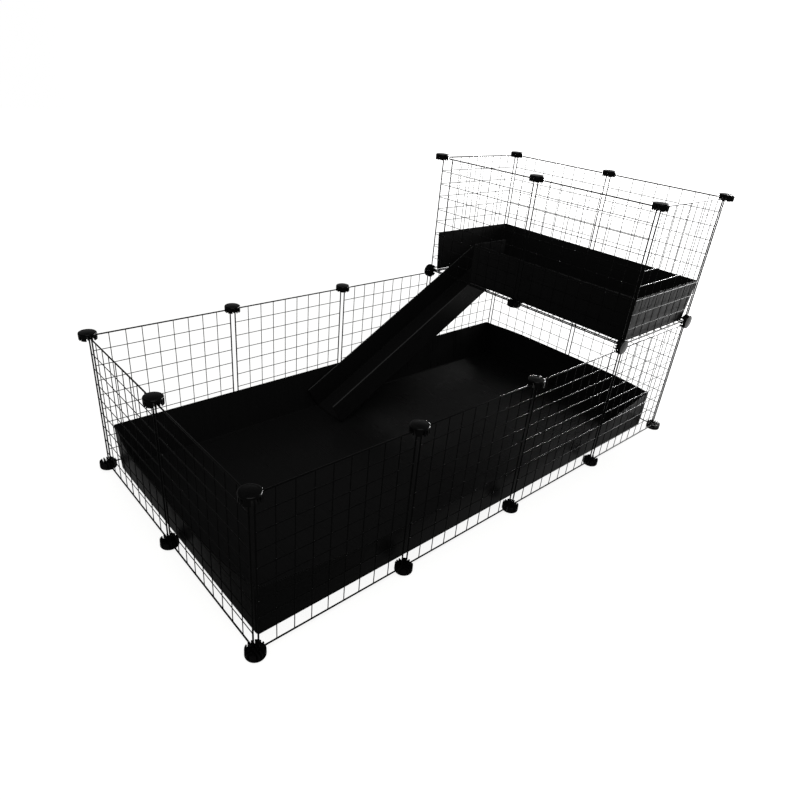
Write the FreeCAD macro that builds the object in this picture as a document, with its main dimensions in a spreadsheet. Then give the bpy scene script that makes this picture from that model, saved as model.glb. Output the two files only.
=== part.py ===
import FreeCAD, Part

import os

import Sketcher
from FreeCAD import Placement, Rotation, Vector

# Small animal cage: an open run of welded wire grids, four cells long and two deep, with a one cell
# wide loft across its right-hand end. Round push-on connectors hold the grids at their corners.
# Folded twin-wall plastic makes the base tray, the loft tray and the ramp between them.
# X runs along the cage with the loft at +X, Y runs away from the viewer, Z is up, in millimetres.
# The origin is on the floor, under the middle of the cage.

# Counts. The ramp comes up through a corner of the far loft floor grid, cut out up to one wire each way.
CELLS_LONG = 4
CELLS_DEEP = 2
MESH_SQUARES = 9
TRIM_WIRE = 5
CORNER_FACETS = 2

# The ramp's slope, in degrees
ANGLES = {
    "ramp_slope": 29,
}

# Driving dimensions, in millimetres
SIZES = {
    # Wire grids
    "grid_span": 352,
    "grid_gap": 14,
    "frame_wire": 3.5,
    "mesh_wire": 2,
    "corner_radius": 8,
    # Connectors
    "connector_radius": 20.5,
    "cap_edge": 3.5,
    "cap_crown": 2.5,
    "cap_clearance": 0.45,
    "slot_clearance": 0.25,
    "skirt_depth": 12,
    "skirt_wall": 2.5,
    "seat_slack": 3.5,
    # Twin-wall plastic sheet
    "sheet_thickness": 4,
    # Base tray
    "base_wall": 120,
    "base_end_gap": 24,
    "base_near_gap": 35,
    "base_far_gap": 25,
    "base_far_lean": 20,
    "base_end_bow": 20,
    "base_near_bow": 31,
    # Loft tray
    "loft_wall": 124,
    "loft_front_gap": 21.5,
    "loft_side_gap": 11.5,
    "loft_front_lean": 2.5,
    "loft_side_lean": 8,
    # Ramp
    "ramp_width": 130,
    "ramp_wall": 75,
    "ramp_lip": 40,
    "ramp_side_clearance": 0.5,
    "guard_clearance": 1.5,
    "rest_gap": 0.3,
    "crest_setback": 1.5,
    "notch_clearance": 2,
    # One overrun for every cut
    "overrun": 10,
}

doc = FreeCAD.newDocument("small_animal_cage")
sheet = doc.addObject("Spreadsheet::Sheet", "sizes")
for row, (alias, value) in enumerate([*SIZES.items(), *ANGLES.items()], start=1):
    sheet.set(f"A{row}", alias)
    sheet.set(f"B{row}", str(value))
    sheet.setAlias(f"B{row}", alias)
doc.recompute()


def size(name):
    """The expression that reads one driving dimension."""
    return f"<<sizes>>.{name}"


# Formulas that several pieces share
SPAN = size("grid_span")
WIRE = size("mesh_wire")
FRAME = size("frame_wire")
SHEET = size("sheet_thickness")
OVERRUN = size("overrun")
HALF_GAP = f"({size('grid_gap')} / 2)"
PITCH = f"({SPAN} + {size('grid_gap')})"
MESH_PITCH = f"({SPAN} / {MESH_SQUARES})"
CAP_FACE = f"({FRAME} / 2 + {size('cap_clearance')})"
CAP_RIM = f"({CAP_FACE} + {size('cap_edge')})"
DOME_REACH = f"({CAP_RIM} + {size('cap_crown')})"

# Heights of the grids and connectors above the floor
FLOOR_LEVEL = DOME_REACH
LOWER_MIDDLE = f"({FLOOR_LEVEL} + {size('seat_slack')} + {SPAN} / 2)"
RIM_LEVEL = f"({LOWER_MIDDLE} + {SPAN} / 2 + {size('seat_slack')})"
LOFT_LEVEL = f"({LOWER_MIDDLE} + {SPAN} / 2 + {HALF_GAP})"
UPPER_MIDDLE = f"({LOFT_LEVEL} + {HALF_GAP} + {SPAN} / 2)"
TOP_LEVEL = f"({UPPER_MIDDLE} + {SPAN} / 2 + {size('seat_slack')})"

# Turns of the grids and connectors about their own middles
LEVEL = Rotation()
DOME_DOWN = Rotation(Vector(1, 0, 0), 180)
FACING_NEAR = Rotation(Vector(1, 0, 0), 90)
FACING_FAR = Rotation(Vector(0, 0, 1), 180) * FACING_NEAR
FACING_LEFT = Rotation(Vector(0, 0, 1), -90) * FACING_NEAR
FACING_RIGHT = Rotation(Vector(0, 0, 1), 90) * FACING_NEAR


def column(number):
    """Where a line of connectors stands along the cage, counted from its left-hand end."""
    return f"({number - CELLS_LONG / 2} * {PITCH})"


def line(number):
    """Where a line of connectors stands across the cage, counted from its near side."""
    return f"({number - CELLS_DEEP / 2} * {PITCH})"


def place(piece, x, y, z, turn=LEVEL):
    """Turns a piece and binds its place."""
    piece.Placement = Placement(Vector(), turn)
    for axis, formula in zip("xyz", (x, y, z)):
        piece.setExpression(f"Placement.Base.{axis}", formula)
    return piece


def block(name, length, width, height, x, y, z):
    """A box with bound sizes and a bound lowest corner."""
    box = doc.addObject("Part::Box", name)
    box.setExpression("Length", length)
    box.setExpression("Width", width)
    box.setExpression("Height", height)
    return place(box, x, y, z)


def group(name, pieces):
    """Several solids in one named sub-part."""
    compound = doc.addObject("Part::Compound", name)
    compound.Links = pieces
    return compound


def sketch_on(body, name, plane, loops):
    """A sketch of closed outlines on one of the body's planes."""
    sketch = body.newObject("Sketcher::SketchObject", name)
    planes = {feature.Role: feature for feature in body.Origin.OriginFeatures}
    sketch.AttachmentSupport = [(planes[plane], "")]
    sketch.MapMode = "FlatFace"
    return draw_loops(sketch, loops)


def draw_loops(sketch, loops):
    """Draws closed outlines, every corner bound to two formulas."""
    first = 0
    for loop in loops:
        values = [[float(sketch.evalExpression(formula)) for formula in corner] for corner in loop]
        corners = [Vector(*pair) for pair in values]
        count = len(corners)
        for index, start in enumerate(corners):
            end = corners[(index + 1) % count]
            sketch.addGeometry(Part.LineSegment(start, end), False)
        for index in range(count):
            follows = first + (index + 1) % count
            sketch.addConstraint(Sketcher.Constraint("Coincident", first + index, 2, follows, 1))
        for index, corner in enumerate(loop):
            for kind, formula, value in zip(("DistanceX", "DistanceY"), corner, corners[index]):
                number = sketch.addConstraint(Sketcher.Constraint(kind, -1, 1, first + index, 1, value))
                sketch.setExpression(f"Constraints[{number}]", formula)
        first += count
    return sketch


def pad(body, name, sketch, length, midplane=False):
    feature = body.newObject("PartDesign::Pad", name)
    feature.Profile = sketch
    feature.setExpression("Length", length)
    feature.Midplane = midplane
    return feature


def pocket(body, name, sketch, length, midplane=False):
    feature = body.newObject("PartDesign::Pocket", name)
    feature.Profile = sketch
    feature.setExpression("Length", length)
    feature.Midplane = midplane
    return feature


# Connector: a shallow pointed cap with a skirt of teeth, which leave slots for three wires on each of
# its four sides. The cap points to +Z, and the wires' plane is at zero. The round outlines have one
# corner at each slot's edge and one between the sides, because the cage has dozens of connectors.
HALF_SLOT = f"({FRAME} / 2 + {size('slot_clearance')})"
TOOTH_EDGES = [HALF_SLOT, f"({HALF_GAP} - {HALF_SLOT})"]
SLOTS_EDGE = f"({HALF_GAP} + {HALF_SLOT})"


def rim_corner(side, radius, offset):
    """The corner of a round outline on one of the connector's four sides, off that side's middle."""
    reach = f"sqrt({radius} ^ 2 - ({offset}) ^ 2)"
    right = (reach, offset)
    far = (f"(-({offset}))", reach)
    left = (f"(-{reach})", f"(-({offset}))")
    near = (offset, f"(-{reach})")
    return (right, far, left, near)[side % 4]


def diagonal_corner(side, radius):
    """The corner of a round outline halfway between one side and the next."""
    turn = 90 * side + 45
    return f"({radius} * cos({turn}deg))", f"({radius} * sin({turn}deg))"


def round_outline(radius):
    offsets = [SLOTS_EDGE, *reversed(TOOTH_EDGES)]
    offsets = [f"(-{offset})" for offset in offsets] + list(reversed(offsets))
    corners = []
    for side in range(4):
        corners += [rim_corner(side, radius, offset) for offset in offsets]
        corners.append(diagonal_corner(side, radius))
    return corners


def tooth_outlines(outer, inner):
    """The skirt from below: two narrow teeth on each side and a wide one between the sides."""
    low, high = TOOTH_EDGES
    teeth = []
    for side in range(4):
        for start, end in ((low, high), (f"(-{high})", f"(-{low})")):
            teeth.append([
                rim_corner(side, inner, start),
                rim_corner(side, outer, start),
                rim_corner(side, outer, end),
                rim_corner(side, inner, end),
            ])
        teeth.append([
            rim_corner(side, inner, SLOTS_EDGE),
            rim_corner(side, outer, SLOTS_EDGE),
            diagonal_corner(side, outer),
            rim_corner(side + 1, outer, f"(-{SLOTS_EDGE})"),
            rim_corner(side + 1, inner, f"(-{SLOTS_EDGE})"),
            diagonal_corner(side, inner),
        ])
    return teeth


def make_connector():
    body = doc.addObject("PartDesign::Body", "connector")
    outer = size("connector_radius")
    inner = f"({outer} - {size('skirt_wall')})"
    rim = sketch_on(body, "cap_outline", "XY_Plane", [round_outline(outer)])
    rim.setExpression("AttachmentOffset.Base.z", CAP_FACE)
    pad(body, "cap_edge", rim, size("cap_edge"))
    base = sketch_on(body, "crown_base", "XY_Plane", [round_outline(outer)])
    base.setExpression("AttachmentOffset.Base.z", CAP_RIM)
    peak = body.newObject("Sketcher::SketchObject", "crown_peak")
    peak.AttachmentSupport = base.AttachmentSupport
    peak.MapMode = "FlatFace"
    peak.addGeometry(Part.Point(Vector()), False)
    peak.addConstraint(Sketcher.Constraint("Coincident", 0, 1, -1, 1))
    peak.setExpression("AttachmentOffset.Base.z", DOME_REACH)
    crown = body.newObject("PartDesign::AdditiveLoft", "crown")
    crown.Profile = base
    crown.Sections = [peak]
    crown.Ruled = True
    skirt = sketch_on(body, "skirt_teeth", "XY_Plane", tooth_outlines(outer, inner))
    skirt.setExpression("AttachmentOffset.Base.z", CAP_FACE)
    teeth = pad(body, "skirt", skirt, size("skirt_depth"))
    teeth.Reversed = True
    body.Tip = teeth
    return body


# Wire grid, flat about its own middle: a bent frame wire, with a layer of uprights welded under a
# layer of cross wires. Drawn wire is kept four-sided here, because the grids hold hundreds of wires.
def frame_corners(wire_offset):
    """A rounded square at some distance outside the frame wire's centreline."""
    corner_middle = f"({SPAN} / 2 - {size('corner_radius')})"
    radius = f"({size('corner_radius')} + {wire_offset})"
    corners = []
    for quarter in range(4):
        for facet in range(CORNER_FACETS + 1):
            turn = 90 * (quarter + facet / CORNER_FACETS)
            x_sign = 1 if quarter in (0, 3) else -1
            y_sign = 1 if quarter in (0, 1) else -1
            x = f"({x_sign} * {corner_middle} + {radius} * cos({turn}deg))"
            y = f"({y_sign} * {corner_middle} + {radius} * sin({turn}deg))"
            corners.append((x, y))
    return corners


def make_grid_frame():
    body = doc.addObject("PartDesign::Body", "grid_frame")
    loops = [frame_corners(f"{FRAME} / 2"), frame_corners(f"(-{FRAME} / 2)")]
    bent = pad(body, "bent_wire", sketch_on(body, "frame_outline", "XY_Plane", loops), FRAME, midplane=True)
    body.Tip = bent
    return body


def mesh_place(number):
    """Where a mesh wire's centre lies from the grid's middle."""
    return f"({number} * {MESH_PITCH} - {SPAN} / 2)"


INSIDE = f"({SPAN} - {FRAME})"
TRIM = mesh_place(TRIM_WIRE)


def upright(number, name, end=f"({INSIDE} / 2)"):
    """A mesh wire along the grid's own Y, in the lower layer."""
    start = f"(-{INSIDE} / 2)"
    x = f"({mesh_place(number)} - {WIRE} / 2)"
    return block(name, WIRE, f"({end} - {start})", WIRE, x, start, f"(-{WIRE})")


def cross_wire(number, name, start=f"(-{INSIDE} / 2)"):
    """A mesh wire along the grid's own X, in the upper layer."""
    end = f"({INSIDE} / 2)"
    y = f"({mesh_place(number)} - {WIRE} / 2)"
    return block(name, f"({end} - {start})", WIRE, WIRE, start, y, "0")


def make_grids():
    """The twenty grids: two walls round the run and round the loft, and the loft's floor."""
    frame = make_grid_frame()
    numbers = range(1, MESH_SQUARES)
    uprights = {n: upright(n, f"upright_{n}") for n in numbers}
    crosses = {n: cross_wire(n, f"cross_wire_{n}") for n in numbers}
    whole = [frame, *uprights.values(), *crosses.values()]
    trimmed = [frame]
    trimmed += [upright(n, f"trimmed_upright_{n}", end=TRIM) for n in range(1, TRIM_WIRE)]
    trimmed += [uprights[n] for n in range(TRIM_WIRE, MESH_SQUARES)]
    trimmed += [crosses[n] for n in range(1, TRIM_WIRE + 1)]
    trimmed += [cross_wire(n, f"trimmed_cross_{n}", start=TRIM) for n in range(TRIM_WIRE + 1, MESH_SQUARES)]
    loft = CELLS_LONG - 1
    grids = []

    def grid(name, wires, x, y, z, turn=LEVEL):
        grids.append(place(group(name, wires), x, y, z, turn))

    for cell in range(CELLS_LONG):
        middle = column(cell + 0.5)
        grid(f"wall_near_{cell + 1}", whole, middle, line(0), LOWER_MIDDLE, FACING_NEAR)
        grid(f"wall_far_{cell + 1}", whole, middle, line(CELLS_DEEP), LOWER_MIDDLE, FACING_FAR)
    for cell, side in enumerate(("near", "far")):
        middle = line(cell + 0.5)
        grid(f"wall_left_{side}", whole, column(0), middle, LOWER_MIDDLE, FACING_LEFT)
        grid(f"wall_right_{side}", whole, column(CELLS_LONG), middle, LOWER_MIDDLE, FACING_RIGHT)
        grid(f"loft_front_{side}", whole, column(loft), middle, UPPER_MIDDLE, FACING_LEFT)
        grid(f"loft_right_{side}", whole, column(CELLS_LONG), middle, UPPER_MIDDLE, FACING_RIGHT)
        floor_wires = whole if side == "near" else trimmed
        grid(f"loft_floor_{side}", floor_wires, column(loft + 0.5), middle, LOFT_LEVEL)
    grid("loft_side_near", whole, column(loft + 0.5), line(0), UPPER_MIDDLE, FACING_NEAR)
    grid("loft_side_far", whole, column(loft + 0.5), line(CELLS_DEEP), UPPER_MIDDLE, FACING_FAR)
    return grids


def make_connectors():
    """The connectors, all alike, grouped by where they sit and which way their domes face."""
    master = make_connector()
    loft = CELLS_LONG - 1
    ends = (0, CELLS_DEEP)
    ring = [(c, n) for c in range(CELLS_LONG + 1) for n in ends] + [(0, 1), (CELLS_LONG, 1)]
    top_ring = [(c, n) for c in (loft, CELLS_LONG) for n in range(CELLS_DEEP + 1)]
    rim_ring = [spot for spot in ring if spot[0] < loft]
    places = {
        "foot_connectors": [(c, n, FLOOR_LEVEL, DOME_DOWN) for c, n in ring],
        "rim_connectors": [(c, n, RIM_LEVEL, LEVEL) for c, n in rim_ring],
        "loft_near_connectors": [(c, 0, LOFT_LEVEL, FACING_NEAR) for c in (loft, CELLS_LONG)],
        "loft_far_connectors": [(c, CELLS_DEEP, LOFT_LEVEL, FACING_FAR) for c in (loft, CELLS_LONG)],
        "loft_middle_connectors": [
            (loft, 1, LOFT_LEVEL, DOME_DOWN),
            (CELLS_LONG, 1, LOFT_LEVEL, FACING_RIGHT),
        ],
        "top_connectors": [(c, n, TOP_LEVEL, LEVEL) for c, n in top_ring],
    }
    groups = []
    for name, spots in places.items():
        copies = [
            place(group(f"{name}_{number}", [master]), column(c), line(n), height, turn)
            for number, (c, n, height, turn) in enumerate(spots, start=1)
        ]
        groups.append(group(name, copies))
    return groups


# Base tray: an open tray of sheet that stands on the floor inside the run. Its far wall leans out above
# the connectors on the floor. Its near wall and its ends stand straight at their corners, and between
# them their rims bow out towards the grids.
BASE_SIDES = [
    f"({column(0)} + {size('base_end_gap')})",
    f"({column(CELLS_LONG)} - {size('base_end_gap')})",
    f"({line(0)} + {size('base_near_gap')})",
    f"({line(CELLS_DEEP)} - {size('base_far_gap')})",
]
# How far along its wall a bowed rim reaches its full bow, and leaves it
BOW_REACHED = [0.22, 0.78]


def base_outline(level, inset):
    """The base tray's outline at one height, counted from its near left corner."""
    rise = f"({level} / {size('base_wall')})"
    left, right, near, far = [f"({side} {sign} {inset})" for side, sign in zip(BASE_SIDES, "+-+-")]
    far = f"({far} + {size('base_far_lean')} * {rise})"
    corners = [(left, near), (right, near), (right, far), (left, far)]
    bows = [(0, -1, size("base_near_bow")), (1, 0, size("base_end_bow")), None, (-1, 0, size("base_end_bow"))]
    outline = []
    for number, bow in enumerate(bows):
        (x, y), (next_x, next_y) = corners[number], corners[(number + 1) % 4]
        outline.append((x, y))
        for along in BOW_REACHED if bow else []:
            out_x, out_y, reach = bow
            bowed_x = f"({x} + ({next_x} - {x}) * {along} + {out_x} * {reach} * {rise})"
            bowed_y = f"({y} + ({next_y} - {y}) * {along} + {out_y} * {reach} * {rise})"
            outline.append((bowed_x, bowed_y))
    return outline


def base_block(name, start, end, inset):
    """A block between two heights of the base tray's outline."""
    sections = []
    for part, level in (("foot", start), ("rim", end)):
        sketch = doc.addObject("Sketcher::SketchObject", f"{name}_{part}")
        sections.append(place(draw_loops(sketch, [base_outline(level, inset)]), "0", "0", level))
    loft = doc.addObject("Part::Loft", name)
    loft.Sections = sections
    loft.Solid = True
    loft.Ruled = True
    return loft


def make_base_tray():
    wall = size("base_wall")
    tray = doc.addObject("Part::Cut", "base_tray")
    tray.Base = base_block("base_tray_outside", "0", wall, "0")
    tray.Tool = base_block("base_tray_inside", SHEET, f"({wall} + {OVERRUN})", SHEET)
    return tray


# Loft tray: an open tray of sheet that rests on the loft floor's upper wires. Its front wall and
# floor are cut away for the ramp, and the cut piece of the wall is folded in as a guard.
LOFT_UNDERSIDE = f"({LOFT_LEVEL} + {WIRE})"
LOFT_FLOOR = f"({LOFT_UNDERSIDE} + {SHEET})"
LOFT_SIDES = [
    f"({column(CELLS_LONG - 1)} + {size('loft_front_gap')})",
    f"({column(CELLS_LONG)} - {size('loft_side_gap')})",
    f"({line(0)} + {size('loft_side_gap')})",
    f"({line(CELLS_DEEP)} - {size('loft_side_gap')})",
]
LOFT_INSIDES = [f"({side} {sign} {SHEET})" for side, sign in zip(LOFT_SIDES, "+-+-")]
LOFT_LEANS = [size("loft_front_lean"), *[size("loft_side_lean")] * 3]
LOFT_FRONT, LOFT_FAR = LOFT_SIDES[0], LOFT_SIDES[3]

# The ramp lies against the foot of the base tray's far wall, and its crest is just past the trimmed wire
RAMP_FAR = f"({BASE_SIDES[3]} - {SHEET} - {size('ramp_side_clearance')})"
RAMP_NEAR = f"({RAMP_FAR} - {size('ramp_width')})"
CREST_X = f"({column(CELLS_LONG - 0.5)} + {TRIM} + {size('crest_setback')})"
CREST_Z = f"({LOFT_FLOOR} + {size('rest_gap')})"
NOTCH_NEAR = f"({RAMP_NEAR} - {size('guard_clearance')})"
NOTCH_END = f"({CREST_X} + {size('notch_clearance')})"


def leaning_block(name, sides, leans, start, end):
    """A block between two heights above the loft tray's underside. Its left, right, near and far sides are
    given at that underside, and each leans out by its own amount over the height of the tray's wall."""
    wedge = doc.addObject("Part::Wedge", name)
    wedge.setExpression("Ymin", start)
    wedge.setExpression("Ymax", end)
    for prefix, level in (("", start), ("2", end)):
        left, right, near, far = [
            f"({side} {sign} {lean} * {level} / {size('loft_wall')})"
            for side, sign, lean in zip(sides, "-+-+", leans)
        ]
        wedge.setExpression(f"X{prefix}min", left)
        wedge.setExpression(f"X{prefix}max", right)
        wedge.setExpression(f"Z{prefix}min", f"(-{far})")
        wedge.setExpression(f"Z{prefix}max", f"(-{near})")
    return place(wedge, "0", "0", LOFT_UNDERSIDE, FACING_NEAR)


def make_loft_tray():
    wall = size("loft_wall")
    above = f"({wall} + {OVERRUN})"
    hollow = doc.addObject("Part::Cut", "loft_tray_hollow")
    hollow.Base = leaning_block("loft_tray_outside", LOFT_SIDES, LOFT_LEANS, "0", wall)
    hollow.Tool = leaning_block("loft_tray_inside", LOFT_INSIDES, LOFT_LEANS, SHEET, above)
    notch_sides = [f"({LOFT_FRONT} - {OVERRUN})", NOTCH_END, NOTCH_NEAR, LOFT_INSIDES[3]]
    notch_leans = ["0", "0", "0", LOFT_LEANS[3]]
    notch = leaning_block("loft_tray_notch", notch_sides, notch_leans, f"(-{OVERRUN})", above)
    guard = block(
        "loft_tray_guard",
        f"({LOFT_FAR} - {NOTCH_NEAR})",
        SHEET,
        wall,
        LOFT_FRONT,
        f"({NOTCH_NEAR} - {SHEET})",
        LOFT_UNDERSIDE,
    )
    notched = doc.addObject("Part::Cut", "loft_tray_notched")
    notched.Base = hollow
    notched.Tool = notch
    tray = doc.addObject("Part::Fuse", "loft_tray")
    tray.Base = notched
    tray.Tool = guard
    tray.Refine = True
    return tray


# Ramp: a folded channel from the base tray's floor up to a lip that lies on the loft tray's floor.
# Its own origin is the underside of the crest. Its ends are cut square to the slope.
RAMP_RISE = f"({CREST_Z} - {SHEET} - {size('rest_gap')})"
SLOPE = f"({size('ramp_slope')} * 1deg)"


def slope_point(along, above):
    """A point of the ramp's section, up the slope from the crest and square off its underside."""
    x = f"({along} * cos({SLOPE}) - {above} * sin({SLOPE}))"
    z = f"({along} * sin({SLOPE}) + {above} * cos({SLOPE}))"
    return x, z


def make_ramp():
    body = doc.addObject("PartDesign::Body", "ramp")
    foot = f"(-{RAMP_RISE} / sin({SLOPE}))"
    wall = size("ramp_wall")
    lip = size("ramp_lip")
    inner_bend = f"(-{SHEET} * tan({SLOPE} / 2))"
    channel = [
        slope_point(foot, "0"),
        ("0", "0"),
        (lip, "0"),
        (lip, SHEET),
        (f"(-{SHEET} * tan({SLOPE}))", SHEET),
        slope_point("0", wall),
        slope_point(foot, wall),
    ]
    hollow = [
        slope_point(f"({foot} - {OVERRUN})", SHEET),
        (inner_bend, SHEET),
        (f"({inner_bend} + 2 * {OVERRUN})", SHEET),
        slope_point(f"(2 * {OVERRUN})", f"({wall} + {OVERRUN})"),
        slope_point(f"({foot} - {OVERRUN})", f"({wall} + {OVERRUN})"),
    ]
    side = sketch_on(body, "channel_side", "XZ_Plane", [channel])
    pad(body, "channel", side, size("ramp_width"), midplane=True)
    inside = sketch_on(body, "channel_inside", "XZ_Plane", [hollow])
    width = f"({size('ramp_width')} - 2 * {SHEET})"
    body.Tip = pocket(body, "channel_hollow", inside, width, midplane=True)
    return place(body, CREST_X, f"({RAMP_NEAR} + {size('ramp_width')} / 2)", CREST_Z)


sub_parts = make_grids() + make_connectors() + [make_base_tray(), make_loft_tray(), make_ramp()]
doc.recompute()

for item in doc.Objects:
    if "Invalid" in item.State or "Error" in item.State:
        raise RuntimeError(f"{item.Label} failed: {item.State}")
for piece in sub_parts:
    if piece.Shape.isNull() or not piece.Shape.isValid():
        raise RuntimeError(f"{piece.Label} has no valid shape")

os.makedirs("parts", exist_ok=True)
whole_box = FreeCAD.BoundBox()
for piece in sub_parts:
    solids = piece.Shape.Solids
    shape = solids[0] if len(solids) == 1 else Part.Compound(solids)
    shape.exportStep(f"parts/{piece.Label}.step")
    whole_box.add(piece.Shape.BoundBox)
    print(piece.Label, len(solids), "solids", round(shape.Volume), "mm3")
print("sub-parts", len(sub_parts), "overall", whole_box)
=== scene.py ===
import math
import random

import bmesh
import bpy
from mathutils import Matrix, Vector


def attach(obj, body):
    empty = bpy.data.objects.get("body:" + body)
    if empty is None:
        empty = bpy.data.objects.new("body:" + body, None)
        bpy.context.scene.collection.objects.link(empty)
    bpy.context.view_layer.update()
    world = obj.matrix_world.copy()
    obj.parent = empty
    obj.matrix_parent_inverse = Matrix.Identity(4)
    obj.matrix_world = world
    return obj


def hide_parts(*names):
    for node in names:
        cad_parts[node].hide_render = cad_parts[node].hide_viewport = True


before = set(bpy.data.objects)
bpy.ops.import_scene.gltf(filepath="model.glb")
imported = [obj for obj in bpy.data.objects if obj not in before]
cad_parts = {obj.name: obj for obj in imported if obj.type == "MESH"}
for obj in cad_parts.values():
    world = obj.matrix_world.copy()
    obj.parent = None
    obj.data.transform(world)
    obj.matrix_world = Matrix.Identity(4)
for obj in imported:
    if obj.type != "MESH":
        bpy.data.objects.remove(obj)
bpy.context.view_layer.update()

# Small animal cage: powder-coated wire grids on moulded connectors, with trays and a ramp folded from
# black twin-wall plastic sheet. Shapes are made in millimetres, in the frame of the CAD parts, and are
# turned to metres when each piece is finished. The camera and studio are made in metres.
METRES = 0.001
# Points that meet within these distances are made one, in a bent frame wire and in a turned connector
BENT_MERGE_GAP = 0.02
TURNED_MERGE_GAP = 0.01

# Grids, with their span measured between the middles of the frame wires
SPAN = 352
PITCH = 366
FRAME_WIRE = 3.5
FRAME_WIRE_SIDES = 12
CORNER_RADIUS = 8
CORNER_STEPS = 5
MESH_SQUARES = 9
MESH_STEP = SPAN / MESH_SQUARES
MESH_WIRE = 2
MESH_WIRE_SIDES = 8
# The mesh wires' two layers, one on each side of the grid's middle plane, are pressed together a little
LAYER = 0.9
# A mesh wire ends, and is welded, this far short of the frame wire's middle
MESH_END_INSET = 0.8
WELD_INSET = 1
WELD_RADIUS = 1.45
# How far a mesh wire wanders from true, in how many lengths it is drawn, and its short end lengths
WANDER = 0.3
MESH_LENGTHS = 4
MESH_END_STEP = 0.4
# The wire up to which the corner of the far loft floor grid is cut out for the ramp
TRIM_WIRE = 5

# Levels above the floor, and the columns and lines of connectors
FLOOR_LEVEL = 8.2
LOWER_MIDDLE = FLOOR_LEVEL + FRAME_WIRE + SPAN / 2
RIM_LEVEL = LOWER_MIDDLE + SPAN / 2 + FRAME_WIRE
LOFT_LEVEL = LOWER_MIDDLE + PITCH / 2
UPPER_MIDDLE = LOFT_LEVEL + PITCH / 2
TOP_LEVEL = UPPER_MIDDLE + SPAN / 2 + FRAME_WIRE
COLUMNS = [PITCH * (number - 2) for number in range(5)]
LINES = [PITCH * (number - 1) for number in range(3)]

# Connector, in its own frame: its cap points to +Z and the wires' plane is at zero
CONNECTOR_RADIUS = 20.4
CAP_EDGE = 3.4
CAP_FACE = 2.2
SKIRT_INSIDE = 18
SKIRT_END = -9.8
SKIRT_TAPER = 0.988
# The cap's top in section, from its middle over its rolled edge
CAP_TOP = [(0, 8.19), (7, 8), (13, 7.5), (16.6, 6.9), (17.6, 6.95), (18.7, 6.7), (19.7, 5.9), (20.3, 4.7)]
# Faces are 3 degrees wide, so that a slot is four of them and a narrow tooth three
FACES_ROUND = 120
# The slots, in degrees from the middle of a side
MIDDLE_SLOT = 6
OUTER_SLOT = (15, 27)
# The blocks in one quarter of the skirt, as their reaches across and deep
BLOCKS = [((2, 5), (2, 5)), ((9, 17), (2, 5)), ((2, 5), (9, 17)), ((9, 12.4), (9, 12.4))]
BLOCK_END = -9
BLOCK_GAP = 0.1
# Moulded edges that are longer and sharper than this are eased
EASED_LENGTH = 2.3
EASED_ANGLE = math.radians(50)
EASED_WIDTH = 0.3
# The cap is shaded round from this far above its underside
SHADED_ROUND_ABOVE = 0.05

# Twin-wall sheet
SHEET = 4
FLUTE_STEP = 4.5
SKIN = 0.55
# How deep a flute shows from its end, and along a cut beside it, and how it narrows
FLUTE_DEPTH = 3
GROOVE_DEPTH = 1.6
FLUTE_TAPER = 0.05
SHORTEST_CUT = 20
FOLD_STEPS = 4
TRAY_FOLD_RADIUS = 5.5
GUARD_FOLD_RADIUS = 4.5
RAMP_FOLD_RADIUS = 5
LIP_FOLD_RADIUS = 2

# Trays and ramp. A box goes from a tray's foot to its rim, before its left, right, near and far walls
# lean out and its rim is bowed.
BASE_BOX = ((-708, -331, 0), (708, 341, 120))
BASE_LEAN = (0, 0, 0, 20)
NEAR_BOW = 31
END_BOW = 20
# The shares of a wall's length and height at which it is bent to its bow, and the share that the bow
# takes to be full
BOW_SHARES = (0.04, 0.08, 0.12, 0.17, 0.25, 0.5, 0.75, 0.83, 0.88, 0.92, 0.96)
BOW_HEIGHT_SHARES = (0.25, 0.5, 0.75)
FULL_BOW_SHARE = 0.25
LOFT_FOOT = 372.7
LOFT_BOX = ((387.5, -354.5, LOFT_FOOT), (720.5, 354.5, 496.7))
LOFT_LEAN = (2.5, 8, 8, 8)
GUARD_END = 537
GUARD_CLEARANCE = 1.5
NOTCH_CLEARANCE = 2
RAMP_WIDTH = 130
RAMP_WALL = 75
RAMP_LIP = 40
RAMP_SLOPE = math.radians(29)
REST_GAP = 0.3
CREST = (570.06, 271.5, LOFT_FOOT + SHEET + REST_GAP)
RAMP_LENGTH = (CREST[2] - SHEET - REST_GAP) / math.sin(RAMP_SLOPE)
NOTCH_END = CREST[0] + NOTCH_CLEARANCE
NOTCH_NEAR = CREST[1] - RAMP_WIDTH / 2 - GUARD_CLEARANCE

# How the parts of a shape are told apart: how near they are to a plane, a wall or the fold at its foot,
# how far from a corner, how much an edge rises, and how squarely a face looks one way
HAIR = 0.1
LENGTH_SLACK = 0.5
ON_PLANE = 1
ON_WALL = 5
IN_FOLD = 6
OFF_CORNER = 10
UPRIGHT_RISE = 10
SQUARELY = 0.9
SIDEWAYS = 0.7

LEVEL = Matrix.Identity(4)
DOME_DOWN = Matrix.Rotation(math.pi, 4, "X")
FACING_NEAR = Matrix.Rotation(math.pi / 2, 4, "X")
FACING_FAR = Matrix.Rotation(math.pi, 4, "Z") @ FACING_NEAR
FACING_LEFT = Matrix.Rotation(-math.pi / 2, 4, "Z") @ FACING_NEAR
FACING_RIGHT = Matrix.Rotation(math.pi / 2, 4, "Z") @ FACING_NEAR

# Studio. Reflections see the paper and backdrop at a fifth of the white that the eye is shown.
MIRRORED_LIGHT = 0.2
PAPER_HALF_WIDTH = 9
PAPER_DROP = 0.0004
# The white that is added to the paper's own grey, and the share of its white that the backdrop keeps in
# the unlit room
PAPER_LIFT = 0.84
UNLIT_SHARE = 0.07


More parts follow.
